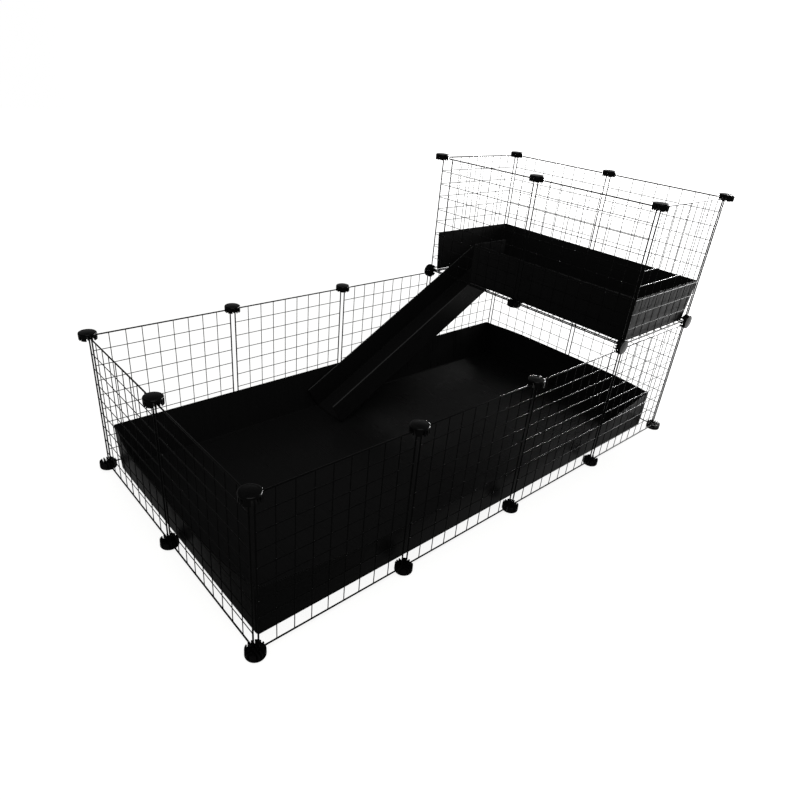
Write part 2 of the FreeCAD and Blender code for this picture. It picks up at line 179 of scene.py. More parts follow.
# Camera, at the photograph's viewing angle
def set_camera():
    camera = bpy.data.cameras.new("camera")
    camera.sensor_width = 36
    camera.lens = 28.217
    camera.clip_start = 0.05
    viewer = bpy.data.objects.new("camera", camera)
    viewer.location = (-1.1213, -1.0791, 0.9801)
    viewer.rotation_euler = [math.radians(turn) for turn in (61.6078, -4.9389, -41.5827)]
    bpy.context.collection.objects.link(viewer)
    bpy.context.scene.camera = viewer


# Materials
def colour(hex_code):
    """A linear colour from an sRGB hex code."""
    parts = [int(hex_code[place:place + 2], 16) / 255 for place in (1, 3, 5)]
    return [part / 12.92 if part <= 0.04045 else ((part + 0.055) / 1.055) ** 2.4 for part in parts] + [1]


def add_node(tree, kind, settings=None, **links):
    """Adds a node. settings go to the node itself or to its sockets, and links are sockets or values for
    the input of that name, or for i0, i1 and so on, the input of that number."""
    node = tree.nodes.new(kind)
    for name, value in (settings or {}).items():
        if hasattr(node, name):
            setattr(node, name, value)
        else:
            node.inputs[name].default_value = value
    for name, source in links.items():
        place = int(name[1:]) if name[1:].isdigit() else name.replace("_", " ")
        if isinstance(source, bpy.types.NodeSocket):
            tree.links.new(source, node.inputs[place])
        else:
            node.inputs[place].default_value = source
    return node


def new_material(name):
    material = bpy.data.materials.new(name)
    material.use_nodes = True
    tree = material.node_tree
    tree.nodes.clear()
    return material, tree


def powder_coated_steel():
    """Black polyester powder coat on drawn steel wire: a hard semi-gloss skin with slight orange peel,
    which shows as long pale glints on wires that run towards the light."""
    material, tree = new_material("powder_coated_steel_wire")
    place = add_node(tree, "ShaderNodeTexCoord").outputs["Object"]
    # Orange peel is about 1 mm across, and is drawn at 2 mm to show
    peel = add_node(tree, "ShaderNodeTexNoise", {"Scale": 500.0, "Detail": 2.0}, Vector=place)
    # The coat is thicker and thinner by turns, some 40 mm apart
    patch = add_node(tree, "ShaderNodeTexNoise", {"Scale": 24.0, "Detail": 3.0}, Vector=place)
    shade = add_node(
        tree,
        "ShaderNodeMix",
        {"data_type": "RGBA"},
        i0=patch.outputs[0],
        i6=colour("#030303"),
        i7=colour("#080808"),
    )
    gloss = add_node(tree, "ShaderNodeMapRange", {"To Min": 0.12, "To Max": 0.2}, Value=patch.outputs[0])
    bump = add_node(tree, "ShaderNodeBump", {"Strength": 0.25, "Distance": 0.0001}, Height=peel.outputs[0])
    shader = add_node(
        tree,
        "ShaderNodeBsdfPrincipled",
        {"IOR": 1.5, "Specular IOR Level": 0.09},
        Base_Color=shade.outputs[2],
        Roughness=gloss.outputs[0],
        Normal=bump.outputs[0],
    )
    add_node(tree, "ShaderNodeOutputMaterial", Surface=shader.outputs[0])
    return material


def moulded_abs():
    """Black injection-moulded ABS: smooth and glossy, with faint flow marks and softly rubbed patches."""
    material, tree = new_material("moulded_abs_connector")
    place = add_node(tree, "ShaderNodeTexCoord").outputs["Object"]
    # Flow marks are some 8 mm apart, and the fine rubbing about 1.5 mm
    marks = {"Scale": 120.0, "Detail": 2.0, "Distortion": 1.5}
    flow = add_node(tree, "ShaderNodeTexNoise", marks, Vector=place)
    rubbed = add_node(tree, "ShaderNodeTexNoise", {"Scale": 650.0, "Detail": 4.0}, Vector=place)
    shade = add_node(
        tree,
        "ShaderNodeMix",
        {"data_type": "RGBA"},
        i0=flow.outputs[0],
        i6=colour("#040404"),
        i7=colour("#0a0a0a"),
    )
    gloss = add_node(tree, "ShaderNodeMapRange", {"To Min": 0.12, "To Max": 0.26}, Value=rubbed.outputs[0])
    bump = add_node(tree, "ShaderNodeBump", {"Strength": 0.12, "Distance": 0.0002}, Height=flow.outputs[0])
    shader = add_node(
        tree,
        "ShaderNodeBsdfPrincipled",
        {"IOR": 1.54, "Specular IOR Level": 0.1},
        Base_Color=shade.outputs[2],
        Roughness=gloss.outputs[0],
        Normal=bump.outputs[0],
    )
    add_node(tree, "ShaderNodeOutputMaterial", Surface=shader.outputs[0])
    return material


def twin_wall(name, dark, pale, roughest, ribs=0.3, specular=0.06):
    """Extruded black polypropylene twin-wall sheet: a satin skin that sinks a little over every rib, with
    fine streaks along the extrusion. Its specular level is low, because the real sheet looks nearly black
    until it is seen at a low angle. The map's first coordinate runs across the flutes, in millimetres."""
    material, tree = new_material(name)
    sheet_map = add_node(tree, "ShaderNodeUVMap", {"uv_map": "flutes"}).outputs[0]
    # One rib at every flute: a wave's bands repeat after pi / 10 over its scale
    rib = add_node(
        tree,
        "ShaderNodeTexWave",
        {"wave_profile": "SIN", "Scale": math.pi / 10 / FLUTE_STEP},
        Vector=sheet_map,
    )
    # Extrusion streaks about 2 mm wide and 300 mm long
    stretch = add_node(tree, "ShaderNodeMapping", {"Scale": (0.45, 0.0035, 1)}, Vector=sheet_map)
    streak = add_node(tree, "ShaderNodeTexNoise", {"Scale": 1.0, "Detail": 3.0}, Vector=stretch.outputs[0])
    # Handling marks, some 60 mm across
    cloud = add_node(tree, "ShaderNodeTexNoise", {"Scale": 0.016, "Detail": 4.0}, Vector=sheet_map)
    shade = add_node(
        tree,
        "ShaderNodeMix",
        {"data_type": "RGBA"},
        i0=streak.outputs[0],
        i6=colour(dark),
        i7=colour(pale),
    )
    marks = add_node(tree, "ShaderNodeMath", {"operation": "ADD"}, i0=streak.outputs[0], i1=cloud.outputs[0])
    gloss = add_node(
        tree,
        "ShaderNodeMapRange",
        {"From Min": 0.6, "From Max": 1.4, "To Min": roughest - 0.12, "To Max": roughest},
        Value=marks.outputs[0],
    )
    # A streak stands about a third as high as a rib
    height = add_node(
        tree,
        "ShaderNodeMath",
        {"operation": "MULTIPLY_ADD"},
        i0=streak.outputs[0],
        i1=0.35,
        i2=rib.outputs[1],
    )
    bump = add_node(tree, "ShaderNodeBump", {"Strength": ribs, "Distance": 0.0001}, Height=height.outputs[0])
    shader = add_node(
        tree,
        "ShaderNodeBsdfPrincipled",
        {"IOR": 1.49, "Specular IOR Level": specular},
        Base_Color=shade.outputs[2],
        Roughness=gloss.outputs[0],
        Normal=bump.outputs[0],
    )
    add_node(tree, "ShaderNodeOutputMaterial", Surface=shader.outputs[0])
    return material


# Pieces
def finish_piece(name, shape, body, materials, nodes, turn=LEVEL):
    """Places a finished shape in metres, as a piece that stands for its CAD nodes."""
    bmesh.ops.transform(shape, matrix=Matrix.Scale(METRES, 4) @ turn, verts=shape.verts)
    mesh = bpy.data.meshes.new(name)
    shape.to_mesh(mesh)
    shape.free()
    for material in materials:
        mesh.materials.append(material)
    piece = bpy.data.objects.new(name, mesh)
    bpy.context.collection.objects.link(piece)
    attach(piece, body)
    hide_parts(*nodes)


def at(x, y, z, turn=LEVEL):
    return Matrix.Translation((x, y, z)) @ turn


def box_between(shape, low, high):
    middle = [(a + b) / 2 for a, b in zip(low, high)]
    size = [b - a for a, b in zip(low, high)]
    bmesh.ops.create_cube(shape, size=1, matrix=at(*middle) @ Matrix.Diagonal((*size, 1)))


def open_edges(verts):
    """The edges between these vertices, each of them once and in the same order every time."""
    kept = set(verts)
    edges = [edge for vert in verts for edge in vert.link_edges if edge.other_vert(vert) in kept]
    return list(dict.fromkeys(edges))


def draw_on(shape, edges, step):
    """Draws a wire's section, or the edge of a sheet, on by one step, and returns its new edges."""
    drawn = bmesh.ops.extrude_edge_only(shape, edges=edges)["geom"]
    verts = [item for item in drawn if isinstance(item, bmesh.types.BMVert)]
    bmesh.ops.translate(shape, vec=step, verts=verts)
    return open_edges(verts)


# Grids
def bend_frame_wire(shape):
    """One round wire, drawn along four straights and bent round four corners."""
    corner = SPAN / 2 - CORNER_RADIUS
    start = at(SPAN / 2, -corner, 0, Matrix.Rotation(math.pi / 2, 4, "X"))
    section = bmesh.ops.create_circle(shape, radius=FRAME_WIRE / 2, segments=FRAME_WIRE_SIDES, matrix=start)
    edges = open_edges(section["verts"])
    for quarter in range(4):
        turn = Matrix.Rotation(quarter * math.pi / 2, 3, "Z")
        edges = draw_on(shape, edges, turn @ Vector((0, 2 * corner, 0)))
        bent = bmesh.ops.spin(
            shape,
            geom=edges,
            cent=turn @ Vector((corner, corner, 0)),
            axis=(0, 0, 1),
            angle=math.pi / 2,
            steps=CORNER_STEPS,
        )
        edges = [item for item in bent["geom_last"] if isinstance(item, bmesh.types.BMEdge)]
    bmesh.ops.remove_doubles(shape, verts=shape.verts, dist=BENT_MERGE_GAP)


def draw_mesh_wire(shape, chance, along, offset, start, end):
    """A straight mesh wire along the grid's X or Y, which wanders a little from true between its ends."""
    layer = LAYER if along == "X" else -LAYER
    section_turn = Matrix.Rotation(math.pi / 2, 4, "Y" if along == "X" else "X")
    first = (start, offset, layer) if along == "X" else (offset, start, layer)
    section = bmesh.ops.create_circle(
        shape, cap_ends=True, radius=MESH_WIRE / 2, segments=MESH_WIRE_SIDES, matrix=at(*first, section_turn)
    )
    edges = open_edges(section["verts"])
    strays = [0, 0, *(chance.uniform(-WANDER, WANDER) for bend in range(MESH_LENGTHS - 1)), 0, 0]
    step = (end - start) / MESH_LENGTHS
    # A short step at each end keeps the flat end out of the long wire's shading
    steps = [step] * MESH_LENGTHS
    steps[0] = steps[-1] = step - MESH_END_STEP
    steps = [MESH_END_STEP, *steps, MESH_END_STEP]
    for forward, before, after in zip(steps, strays, strays[1:]):
        aside = after - before
        edges = draw_on(shape, edges, (forward, aside, 0) if along == "X" else (aside, forward, 0))
    bmesh.ops.contextual_create(shape, geom=edges)


def make_grid(name, turn, trimmed=False):
    """A welded grid: uprights under cross wires, with a weld where they meet each other and the frame.
    A trimmed grid has the wires in one corner cut away."""
    shape = bmesh.new()
    chance = random.Random(name)
    bend_frame_wire(shape)
    inside = SPAN / 2 - MESH_END_INSET
    welded = SPAN / 2 - WELD_INSET
    places = [number * MESH_STEP - SPAN / 2 for number in range(MESH_SQUARES + 1)]
    trim = places[TRIM_WIRE]
    welds = []
    for number in range(1, MESH_SQUARES):
        cut = trimmed and number < TRIM_WIRE
        draw_mesh_wire(shape, chance, "Y", places[number], -inside, trim if cut else inside)
        welds += [(places[number], side * welded, -LAYER) for side in (-1, 1) if not (cut and side > 0)]
        cut = trimmed and number > TRIM_WIRE
        draw_mesh_wire(shape, chance, "X", places[number], trim if cut else -inside, inside)
        welds += [(side * welded, places[number], LAYER) for side in (-1, 1) if not (cut and side < 0)]
        for crossing in range(1, MESH_SQUARES):
            if not (trimmed and number < TRIM_WIRE and crossing > TRIM_WIRE):
                welds.append((places[number], places[crossing], 0))
    for weld in welds:
        bmesh.ops.create_icosphere(shape, subdivisions=1, radius=WELD_RADIUS, matrix=at(*weld))
    bmesh.ops.recalc_face_normals(shape, faces=shape.faces)
    # Everything but the mesh wires' flat ends is shaded round
    for face in shape.faces:
        face.smooth = len(face.verts) < MESH_WIRE_SIDES
    finish_piece(f"grid_{name}", shape, "cage", [WIRE_COAT], [name], turn)


def make_all_grids():
    middles_x = [(left + right) / 2 for left, right in zip(COLUMNS, COLUMNS[1:])]
    middles_y = [(near + far) / 2 for near, far in zip(LINES, LINES[1:])]
    left, loft, right = COLUMNS[0], COLUMNS[3], COLUMNS[4]
    loft_middle = middles_x[3]
    near, far = LINES[0], LINES[2]
    for number, x in enumerate(middles_x, start=1):
        make_grid(f"wall_near_{number}", at(x, near, LOWER_MIDDLE, FACING_NEAR))
        make_grid(f"wall_far_{number}", at(x, far, LOWER_MIDDLE, FACING_FAR))
    for side, y in zip(("near", "far"), middles_y):
        make_grid(f"wall_left_{side}", at(left, y, LOWER_MIDDLE, FACING_LEFT))
        make_grid(f"wall_right_{side}", at(right, y, LOWER_MIDDLE, FACING_RIGHT))
        make_grid(f"loft_front_{side}", at(loft, y, UPPER_MIDDLE, FACING_LEFT))
        make_grid(f"loft_right_{side}", at(right, y, UPPER_MIDDLE, FACING_RIGHT))
        make_grid(f"loft_floor_{side}", at(loft_middle, y, LOFT_LEVEL), trimmed=side == "far")
    make_grid("loft_side_near", at(loft_middle, near, UPPER_MIDDLE, FACING_NEAR))
    make_grid("loft_side_far", at(loft_middle, far, UPPER_MIDDLE, FACING_FAR))


# Connectors
def under_a_tooth(middle):
    """Whether a face with this middle is a part of the cap's underside from which a tooth is drawn."""
    turn = math.degrees(math.atan2(middle.y, middle.x)) % 90
    from_side = min(turn, 90 - turn)
    slotted = from_side < MIDDLE_SLOT or OUTER_SLOT[0] < from_side < OUTER_SLOT[1]
    return middle.z < CAP_FACE + HAIR and math.hypot(middle.x, middle.y) > SKIRT_INSIDE and not slotted


def connector_shape():
    """A moulded connector: a shallow cap with a rolled edge, turned on its axis, then a skirt of teeth
    drawn down from its underside, and the blocks inside that the wires press between."""
    shape = bmesh.new()
    side = [(CONNECTOR_RADIUS, CAP_EDGE), (CONNECTOR_RADIUS, CAP_FACE)]
    underside = [(SKIRT_INSIDE, CAP_FACE), (0, CAP_FACE)]
    verts = [shape.verts.new((radius, 0, height)) for radius, height in CAP_TOP + side + underside]
    edges = [shape.edges.new(pair) for pair in zip(verts, verts[1:])]
    bmesh.ops.spin(
        shape,
        geom=verts + edges,
        cent=(0, 0, 0),
        axis=(0, 0, 1),
        angle=math.tau,
        steps=FACES_ROUND,
        use_merge=True,
    )
    bmesh.ops.remove_doubles(shape, verts=shape.verts, dist=TURNED_MERGE_GAP)
    bmesh.ops.recalc_face_normals(shape, faces=shape.faces)
    teeth = [face for face in shape.faces if under_a_tooth(face.calc_center_median())]
    drawn = bmesh.ops.extrude_face_region(shape, geom=teeth)["geom"]
    bmesh.ops.delete(shape, geom=teeth, context="FACES_ONLY")
    ends = [item for item in drawn if isinstance(item, bmesh.types.BMVert)]
    bmesh.ops.translate(shape, vec=(0, 0, SKIRT_END - CAP_FACE), verts=ends)
    bmesh.ops.scale(shape, vec=(SKIRT_TAPER, SKIRT_TAPER, 1), verts=ends)
    for side_x in (-1, 1):
        for side_y in (-1, 1):
            for reach_x, reach_y in BLOCKS:
                across = sorted(side_x * reach for reach in reach_x)
                deep = sorted(side_y * reach for reach in reach_y)
                low = (across[0], deep[0], BLOCK_END)
                high = (across[1], deep[1], CAP_FACE - BLOCK_GAP)
                box_between(shape, low, high)
    sharp = [
        edge
        for edge in shape.edges
        if edge.is_manifold and edge.calc_face_angle() > EASED_ANGLE and edge.calc_length() > EASED_LENGTH
    ]
    bmesh.ops.bevel(
        shape,
        geom=sharp,
        offset=EASED_WIDTH,
        offset_type="OFFSET",
        segments=1,
        profile=0.5,
        affect="EDGES",
        material=-1,
    )
    for face in shape.faces:
        face.smooth = face.calc_center_median().z > CAP_FACE + SHADED_ROUND_ABOVE
    return shape


def make_connectors():
    ring = [(column, line) for column in range(5) for line in (0, 2)] + [(0, 1), (4, 1)]
    places = {
        "foot_connectors": [(*spot, FLOOR_LEVEL, DOME_DOWN) for spot in ring],
        "rim_connectors": [(column, line, RIM_LEVEL, LEVEL) for column, line in ring if column < 3],
        "loft_near_connectors": [(column, 0, LOFT_LEVEL, FACING_NEAR) for column in (3, 4)],
        "loft_far_connectors": [(column, 2, LOFT_LEVEL, FACING_FAR) for column in (3, 4)],
        "loft_middle_connectors": [(3, 1, LOFT_LEVEL, DOME_DOWN), (4, 1, LOFT_LEVEL, FACING_RIGHT)],
        "top_connectors": [(column, line, TOP_LEVEL, LEVEL) for column in (3, 4) for line in range(3)],
    }
    master = connector_shape()
    for node, spots in places.items():
        for number, (column, line, height, turn) in enumerate(spots, start=1):
            name = f"{node.removesuffix('s')}_{number}"
            place = at(COLUMNS[column], LINES[line], height, turn)
            finish_piece(name, master.copy(), "cage", [CONNECTOR_BLACK], [node], place)
    master.free()


# Sheet work. A skin is drawn as the outside of a folded piece, and the sheet's thickness lies inside it.
# These are the places in SHEET_FINISHES of what each face shows.
SKIN_FACE, FOLD, CUT, RIM = 0, 1, 2, 3


def remove_faces(shape, unwanted):
    faces = [face for face in shape.faces if unwanted(face.calc_center_median(), face.normal)]
    bmesh.ops.delete(shape, geom=faces, context="FACES")


def tray_walls(shape, box, leans):
    """The outside of an open tray. Its left, right, near and far walls each lean out by the top."""
    low, high = box
    left, right, near, far = leans
    box_between(shape, low, high)
    for vert in shape.verts:
        if vert.co.z > low[2] + ON_PLANE:
            vert.co.x += right if vert.co.x > low[0] + ON_PLANE else -left
            vert.co.y += far if vert.co.y > low[1] + ON_PLANE else -near
    remove_faces(shape, lambda middle, normal: normal.z > SQUARELY)


def fold_edges(shape, folded, radius):
    """Rounds the edges along which the sheet is scored and folded."""
    edges = [edge for edge in shape.edges if len(edge.link_faces) == 2 and folded(edge)]
    bmesh.ops.bevel(
        shape,
        geom=edges,
        offset=radius,
        offset_type="OFFSET",
        segments=FOLD_STEPS,
        profile=0.5,
        affect="EDGES",
        material=FOLD,
    )


def give_thickness(shape):
    bmesh.ops.recalc_face_normals(shape, faces=shape.faces)
    bmesh.ops.solidify(shape, geom=shape.faces[:], thickness=SHEET)
    bmesh.ops.recalc_face_normals(shape, faces=shape.faces)


def level_top(shape, top):
    """Trims the walls that lean, level with the others."""
    for vert in shape.verts:
        vert.co.z = min(vert.co.z, top)


def on_rim(middle, normal, top):
    """Whether a face lies on the level upper edge of the sheet."""
    return normal.z > SQUARELY and middle.z > top - ON_PLANE


def cut_edge(shape, chosen, flutes_shown):
    """Finishes a straight cut edge of the sheet. Across the flutes their ends show as holes between thin
    ribs, and along them the cut opens one flute as a groove between the two skins."""
    faces = [face for face in shape.faces if chosen(face.calc_center_median(), face.normal)]
    faces = [face for face in faces if len(face.verts) == 4 and face.calc_area() > SHORTEST_CUT * SHEET]
    cells = []
    for face in faces:
        face.material_index = CUT
        if flutes_shown:
            longest = max(edge.calc_length() for edge in face.edges)
            sides = [edge for edge in face.edges if edge.calc_length() > longest - LENGTH_SLACK]
            cuts = max(1, round(longest / FLUTE_STEP) - 1)
            parts = bmesh.ops.subdivide_edges(shape, edges=sides, cuts=cuts, use_grid_fill=True)["geom_inner"]
            ribs = [part for part in parts if isinstance(part, bmesh.types.BMEdge)]
            cells += dict.fromkeys(strip for rib in ribs for strip in rib.link_faces)
        else:
            cells.append(face)
    depth = FLUTE_DEPTH if flutes_shown else GROOVE_DEPTH
    bmesh.ops.inset_individual(shape, faces=cells, thickness=SKIN, depth=0, use_even_offset=True)
    bmesh.ops.inset_individual(shape, faces=cells, thickness=FLUTE_TAPER, depth=-depth)
    for face in cells:
        face.material_index = SKIN_FACE


def map_flutes(shape, across_flutes):
    """Maps each face by its distance across the flutes and along them, in millimetres."""
    layer = shape.loops.layers.uv.new("flutes")
    for face in shape.faces:
        for loop in face.loops:
            loop[layer].uv = across_flutes(face.normal, loop.vert.co)


def across_tray(normal, spot):
    """The trays' flutes run from the near wall to the far one, and up both."""
    if abs(normal.x) > SIDEWAYS:
        return spot.z, spot.y
    return spot.x, spot.y + spot.z


def across_ramp(normal, spot):
    """The ramp's flutes run along it."""
    if abs(normal.y) > SIDEWAYS:
        return spot.z, spot.x
    return spot.y, spot.x


def smooth_folds(shape):
    for face in shape.faces:
        face.smooth = face.material_index == FOLD


def upright_edge(edge):
    first, second = (vert.co for vert in edge.verts)
    return abs(first.z - second.z) > UPRIGHT_RISE


def cut_across(shape, spot, across):
    everything = shape.verts[:] + shape.edges[:] + shape.faces[:]
    bmesh.ops.bisect_plane(shape, geom=everything, plane_co=spot, plane_no=across)


def bow_out(shape, box):
    """Bows the base tray's near wall and its ends out at the rim, to lie against the grids between the
    tray's corners. A bow is full over the middle half of its wall."""
    (left, near, foot), (right, far, rim) = box
    for share in BOW_SHARES:
        cut_across(shape, (left + (right - left) * share, 0, 0), (1, 0, 0))
        cut_across(shape, (0, near + (far - near) * share, 0), (0, 1, 0))
    for share in BOW_HEIGHT_SHARES:
        cut_across(shape, (0, 0, rim * share), (0, 0, 1))

    def bow(share):
        from_end = max(0, min(share, 1 - share))
        return math.sin(math.pi / 2 * min(1, from_end / FULL_BOW_SHARE))

    for vert in shape.verts:
        rise = (vert.co.z - foot) / (rim - foot)
        if vert.co.y < near + IN_FOLD:
            vert.co.y -= NEAR_BOW * rise * bow((vert.co.x - left) / (right - left))
        for side, end in ((-1, left), (1, right)):
            if abs(vert.co.x - end) < IN_FOLD:
                vert.co.x += side * END_BOW * rise * bow((vert.co.y - near) / (far - near))


def make_base_tray():
    shape = bmesh.new()
    right, top = BASE_BOX[1][0], BASE_BOX[1][2]

    def on_side_rim(middle, normal):
        return on_rim(middle, normal, top) and abs(middle.x) < right - OFF_CORNER

    def on_end_rim(middle, normal):
        return on_rim(middle, normal, top) and abs(middle.x) > right - ON_WALL

    tray_walls(shape, BASE_BOX, BASE_LEAN)
    fold_edges(shape, lambda edge: True, TRAY_FOLD_RADIUS)
    bow_out(shape, BASE_BOX)
    give_thickness(shape)
    level_top(shape, top)
    cut_edge(shape, on_side_rim, flutes_shown=True)
    cut_edge(shape, on_end_rim, flutes_shown=False)
    map_flutes(shape, across_tray)
    smooth_folds(shape)
    finish_piece("folded_base_tray", shape, "cage", SHEET_FINISHES, ["base_tray"])


def make_loft_tray():
    """The front wall is cut loose beside the ramp and folded in, where it stands on the floor as a guard."""
    shape = bmesh.new()
    front, foot = LOFT_BOX[0][0], LOFT_BOX[0][2]
    far, top = LOFT_BOX[1][1:]

    def is_folded(edge):
        middle = (edge.verts[0].co + edge.verts[1].co) / 2
        return not (upright_edge(edge) and middle.x < front + ON_PLANE and middle.y > far - ON_PLANE)

    def in_notch(middle, normal):
        beside_ramp = middle.y > NOTCH_NEAR
        on_front = middle.x < front + ON_PLANE
        on_floor = middle.x < NOTCH_END and middle.z < foot + IN_FOLD and middle.y < far - HAIR
        return beside_ramp and (on_front or on_floor)

    def on_hinge(edge):
        spot = edge.verts[0].co
        at_cut = abs(spot.y - NOTCH_NEAR) < HAIR and spot.x < front + ON_PLANE
        return edge.is_boundary and upright_edge(edge) and at_cut

    def on_side_rim(middle, normal):
        return on_rim(middle, normal, top) and abs(middle.y) > far - ON_WALL

    def on_end_rim(middle, normal):
        return on_rim(middle, normal, top) and abs(middle.y) < far - ON_WALL

    def on_guard_end(middle, normal):
        return normal.x > SQUARELY and abs(middle.x - GUARD_END) < ON_PLANE

    def on_notch_side(middle, normal):
        return normal.y > SQUARELY and middle.z < foot + SHEET and middle.y < far - ON_WALL

    def on_notch_end(middle, normal):
        return normal.x < -SQUARELY and middle.z < foot + SHEET and middle.x > NOTCH_END - ON_PLANE

    tray_walls(shape, LOFT_BOX, LOFT_LEAN)
    fold_edges(shape, is_folded, TRAY_FOLD_RADIUS)
    cut_across(shape, (NOTCH_END, 0, 0), (1, 0, 0))
    cut_across(shape, (0, NOTCH_NEAR, 0), (0, 1, 0))
    remove_faces(shape, in_notch)
    hinge = [edge for edge in shape.edges if on_hinge(edge)]
    for edge in draw_on(shape, hinge, (GUARD_END - front, 0, 0)):
        for vert in edge.verts:
            vert.co.x = GUARD_END
    fold_edges(shape, lambda edge: upright_edge(edge) and edge in hinge, GUARD_FOLD_RADIUS)
    give_thickness(shape)
    level_top(shape, top)
    cut_edge(shape, on_side_rim, flutes_shown=True)
    cut_edge(shape, on_end_rim, flutes_shown=False)
    cut_edge(shape, on_guard_end, flutes_shown=True)
    cut_edge(shape, on_notch_side, flutes_shown=True)
    cut_edge(shape, on_notch_end, flutes_shown=False)
    map_flutes(shape, across_tray)
    smooth_folds(shape)
    finish_piece("folded_loft_tray", shape, "cage", SHEET_FINISHES, ["loft_tray"])


def make_ramp():
    """A channel, in its own frame with the crest at zero and its foot at -X, then a lip bent level."""
    shape = bmesh.new()
    half = RAMP_WIDTH / 2
    level = Vector((math.cos(RAMP_SLOPE), 0, -math.sin(RAMP_SLOPE)))

    def at_crest(edge):
        return all(abs(vert.co.x) < HAIR and vert.co.z < HAIR for vert in edge.verts)

    def on_foot(middle, normal):
        return normal.x < -SQUARELY and middle.x < ON_PLANE - RAMP_LENGTH

    def on_wall_end(middle, normal):
        return normal.x > SQUARELY and abs(middle.x) < ON_PLANE and middle.z > SHEET

    def on_lip_end(middle, normal):
        return normal.dot(level) > SQUARELY and middle.x > RAMP_LIP / 2

    box_between(shape, (-RAMP_LENGTH, -half, 0), (0, half, RAMP_WALL))
    remove_faces(shape, lambda middle, normal: normal.z > SQUARELY or abs(normal.x) > SQUARELY)
    fold_edges(shape, lambda edge: True, RAMP_FOLD_RADIUS)
    crest = [edge for edge in shape.edges if edge.is_boundary and at_crest(edge)]
    draw_on(shape, crest, level * RAMP_LIP)
    fold_edges(shape, lambda edge: edge in crest, LIP_FOLD_RADIUS)
    give_thickness(shape)
    for chosen in (on_foot, on_wall_end, on_lip_end):
        cut_edge(shape, chosen, flutes_shown=True)
    # The upward rims take the paler, glossier finish, a painted highlight where light catches them
    for face in shape.faces:
        if on_rim(face.calc_center_median(), face.normal, RAMP_WALL):
            face.material_index = RIM
    map_flutes(shape, across_ramp)
    smooth_folds(shape)
    place = at(*CREST, Matrix.Rotation(-RAMP_SLOPE, 4, "Y"))
    finish_piece("folded_ramp", shape, "ramp", SHEET_FINISHES, ["ramp"], place)


# Studio
def seen_or_mirrored(tree):
    """1 for what the eye sees directly, in reflections and through clear things, and 0 for light."""
    path = add_node(tree, "ShaderNodeLightPath").outputs
    seen = add_node(
        tree, "ShaderNodeMath", {"operation": "MAXIMUM"}, i0=path["Is Camera Ray"], i1=path["Is Glossy Ray"]
    )
    seen = add_node(
        tree, "ShaderNodeMath", {"operation": "MAXIMUM"}, i0=seen.outputs[0], i1=path["Is Transmission Ray"]
    )
    return seen.outputs[0]


def brighter_to_the_right(tree, way):
    """How much more than white the backdrop is, along a level way from the cage."""
    right = add_node(tree, "ShaderNodeSeparateXYZ", Vector=way).outputs["X"]
    rise = {"From Min": 0.25, "From Max": 0.95, "To Max": 0.8, "interpolation_type": "SMOOTHSTEP"}
    return add_node(tree, "ShaderNodeMapRange", rise, Value=right).outputs[0]


def ahead_of_the_lens(tree, way):
    """How far a level way points away from the camera, from -1 to 1."""
    ahead = add_node(tree, "ShaderNodeVectorMath", {"operation": "DOT_PRODUCT"}, i0=way, i1=(0.664, 0.748, 0))
    return ahead.outputs["Value"]


def paper_floor():
    """Studio paper. To the eye its own grey is lifted to the white of the background, and beyond it
    towards the right as a painted glow, where thin wires in front of it wash out. Reflections see a
    fifth of that, and still less of the paper on the camera's side of the cage, which is painted
    shade. It keeps the object's shadow."""
    material, tree = new_material("white_paper_floor")
    path = add_node(tree, "ShaderNodeLightPath").outputs
    spot = add_node(tree, "ShaderNodeTexCoord").outputs["Object"]
    # The level way from the cage to a spot, which grows to a full length of 1 far from the cage
    reach = add_node(tree, "ShaderNodeVectorMath", {"operation": "LENGTH"}, i0=spot).outputs["Value"]
    reach = add_node(tree, "ShaderNodeMath", {"operation": "ADD"}, i0=reach, i1=1.0).outputs[0]
    reach = add_node(tree, "ShaderNodeMath", {"operation": "DIVIDE"}, i0=1.0, i1=reach).outputs[0]
    way = add_node(tree, "ShaderNodeVectorMath", {"operation": "SCALE"}, i0=spot, Scale=reach).outputs[0]
    # Painted glow: the paper brightens towards the right, standing in for light from that side
    lift = brighter_to_the_right(tree, way)
    lift = add_node(tree, "ShaderNodeMath", {"operation": "ADD"}, i0=lift, i1=PAPER_LIFT).outputs[0]
    seen = seen_or_mirrored(tree)
    lift = add_node(tree, "ShaderNodeMath", {"operation": "MULTIPLY"}, i0=seen, i1=lift).outputs[0]
    # Painted shade: in reflections the paper on the camera's side of the cage is darkened
    lit = {"From Min": -0.45, "From Max": 0.05, "To Min": 0.15, "interpolation_type": "SMOOTHSTEP"}
    lit = add_node(tree, "ShaderNodeMapRange", lit, Value=ahead_of_the_lens(tree, way)).outputs[0]
    lit = add_node(tree, "ShaderNodeMath", {"operation": "MAXIMUM"}, i0=lit, i1=path["Is Camera Ray"])
    lift = add_node(tree, "ShaderNodeMath", {"operation": "MULTIPLY"}, i0=lift, i1=lit.outputs[0]).outputs[0]
    paper = add_node(tree, "ShaderNodeBsdfDiffuse", {"Color": colour("#828280")})
    glow = add_node(tree, "ShaderNodeEmission", {"Color": colour("#ffffff")}, Strength=lift)
    both = add_node(tree, "ShaderNodeAddShader", i0=paper.outputs[0], i1=glow.outputs[0])
    unlit = add_node(tree, "ShaderNodeBsdfDiffuse", {"Color": colour("#000000")})
    dim = add_node(
        tree, "ShaderNodeMath", {"operation": "MULTIPLY"}, i0=path["Is Glossy Ray"], i1=1 - MIRRORED_LIGHT
    )
    shown = add_node(tree, "ShaderNodeMixShader", i0=dim.outputs[0], i1=both.outputs[0], i2=unlit.outputs[0])
    add_node(tree, "ShaderNodeOutputMaterial", Surface=shown.outputs[0])
    return material


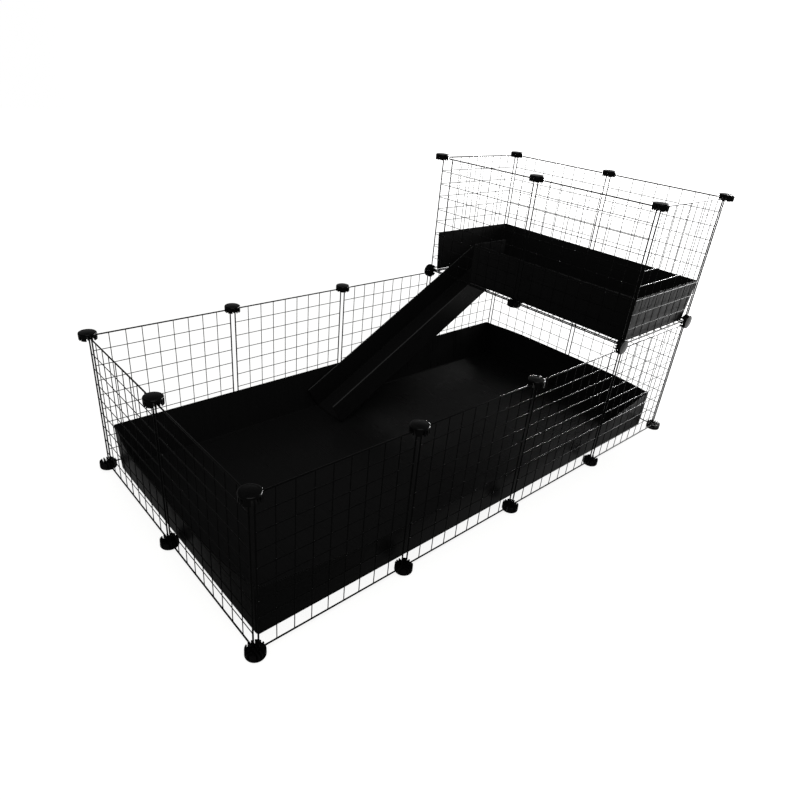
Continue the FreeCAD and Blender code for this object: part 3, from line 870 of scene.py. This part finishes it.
def lay_paper():
    shape = bmesh.new()
    bmesh.ops.create_grid(shape, x_segments=1, y_segments=1, size=PAPER_HALF_WIDTH)
    bmesh.ops.translate(shape, vec=(0, 0, -PAPER_DROP), verts=shape.verts)
    mesh = bpy.data.meshes.new("paper_floor")
    shape.to_mesh(mesh)
    shape.free()
    mesh.materials.append(paper_floor())
    floor = bpy.data.objects.new("paper_floor", mesh)
    bpy.context.collection.objects.link(floor)


def hang_backdrop():
    """The white sweep stands behind the cage. It is full up to 15 degrees above the horizon and gone at
    43. The ceiling and the room behind the camera are unlit in reflections."""
    world = bpy.data.worlds.new("white_studio")
    bpy.context.scene.world = world
    world.use_nodes = True
    tree = world.node_tree
    tree.nodes.clear()
    path = add_node(tree, "ShaderNodeLightPath").outputs
    way = add_node(tree, "ShaderNodeTexCoord").outputs["Generated"]
    height = add_node(tree, "ShaderNodeSeparateXYZ", Vector=way).outputs["Z"]
    low = {"From Min": 0.68, "From Max": 0.26, "interpolation_type": "SMOOTHSTEP"}
    low = add_node(tree, "ShaderNodeMapRange", low, Value=height).outputs[0]
    behind = {"From Min": -0.2, "From Max": 0.35, "interpolation_type": "SMOOTHSTEP"}
    behind = add_node(tree, "ShaderNodeMapRange", behind, Value=ahead_of_the_lens(tree, way)).outputs[0]
    sweep = add_node(tree, "ShaderNodeMath", {"operation": "MULTIPLY"}, i0=low, i1=behind).outputs[0]
    share = {"operation": "MULTIPLY_ADD"}
    sweep = add_node(tree, "ShaderNodeMath", share, i0=sweep, i1=1 - UNLIT_SHARE, i2=UNLIT_SHARE).outputs[0]
    seen = path["Is Camera Ray"]
    sweep = add_node(tree, "ShaderNodeMath", {"operation": "MAXIMUM"}, i0=sweep, i1=seen).outputs[0]
    glare = brighter_to_the_right(tree, way)
    glare = add_node(tree, "ShaderNodeMath", {"operation": "ADD"}, i0=glare, i1=1.0).outputs[0]
    sweep = add_node(tree, "ShaderNodeMath", {"operation": "MULTIPLY"}, i0=sweep, i1=glare).outputs[0]
    dim = {"To Min": 1.0, "To Max": MIRRORED_LIGHT}
    dim = add_node(tree, "ShaderNodeMapRange", dim, Value=path["Is Glossy Ray"]).outputs[0]
    sweep = add_node(tree, "ShaderNodeMath", {"operation": "MULTIPLY"}, i0=sweep, i1=dim).outputs[0]
    soft = add_node(tree, "ShaderNodeBackground", {"Color": colour("#ffffff"), "Strength": 0.8})
    white = add_node(tree, "ShaderNodeBackground", {"Color": colour("#ffffff")}, Strength=sweep)
    both = add_node(
        tree, "ShaderNodeMixShader", i0=seen_or_mirrored(tree), i1=soft.outputs[0], i2=white.outputs[0]
    )
    add_node(tree, "ShaderNodeOutputWorld", Surface=both.outputs[0])


def set_lamps():
    """A large soft box high on the left lights the cage. The wires that run towards them glint to a soft
    box and a low strip on the right and a pale patch on the floor, which light nothing else."""
    for name, spot, target, size, power in (
        ("soft_box_high", (-1.2, -1.6, 3.2), (0, 0, 0.2), (2.4, 2.4), 40),
        ("glint_box_right", (3.4, -0.4, 1.6), (0.4, -0.3, 0.3), (1.8, 1.9), 350),
        ("glint_strip_low", (3.35, 1.5, 0.21), (0.4, -0.2, 0.25), (2.0, 0.38), 125),
        ("glint_patch_on_floor", (1.8, -0.9, 0.001), (1.8, -0.9, 1), (2.2, 1.0), 9),
    ):
        light = bpy.data.lights.new(name, "AREA")
        light.shape = "RECTANGLE"
        light.size, light.size_y = size
        light.energy = power
        lamp = bpy.data.objects.new(name, light)
        lamp.location = spot
        lamp.visible_camera = False
        lamp.visible_diffuse = not name.startswith("glint")
        lamp.rotation_euler = (Vector(target) - Vector(spot)).to_track_quat("-Z", "Y").to_euler()
        bpy.context.collection.objects.link(lamp)


set_camera()
WIRE_COAT = powder_coated_steel()
CONNECTOR_BLACK = moulded_abs()
# The plain skin, the folds that scoring has dulled, the paler cut edges, and the ramp's upward rims,
# which are painted a paler grey as a painted highlight where light catches them, and shine a little
SHEET_FINISHES = [
    twin_wall("twin_wall_polypropylene", "#0a0a0a", "#0f0f0f", 0.36),
    twin_wall("scored_fold_polypropylene", "#0a0a0a", "#0f0f0f", 0.75, specular=0.01),
    twin_wall("cut_edge_polypropylene", "#0c0c0c", "#131313", 0.6, ribs=0.1, specular=0.05),
    # Painted highlight: the ramp's upward rims are painted paler grey to stand in for light on their tops
    twin_wall("rim_painted_highlight_polypropylene", "#1c1c1c", "#2a2a2a", 0.5, ribs=0.1, specular=0.4),
]
make_all_grids()
make_connectors()
make_base_tray()
make_loft_tray()
make_ramp()
lay_paper()
hang_backdrop()
set_lamps()
bpy.context.scene.view_settings.view_transform = "Standard"
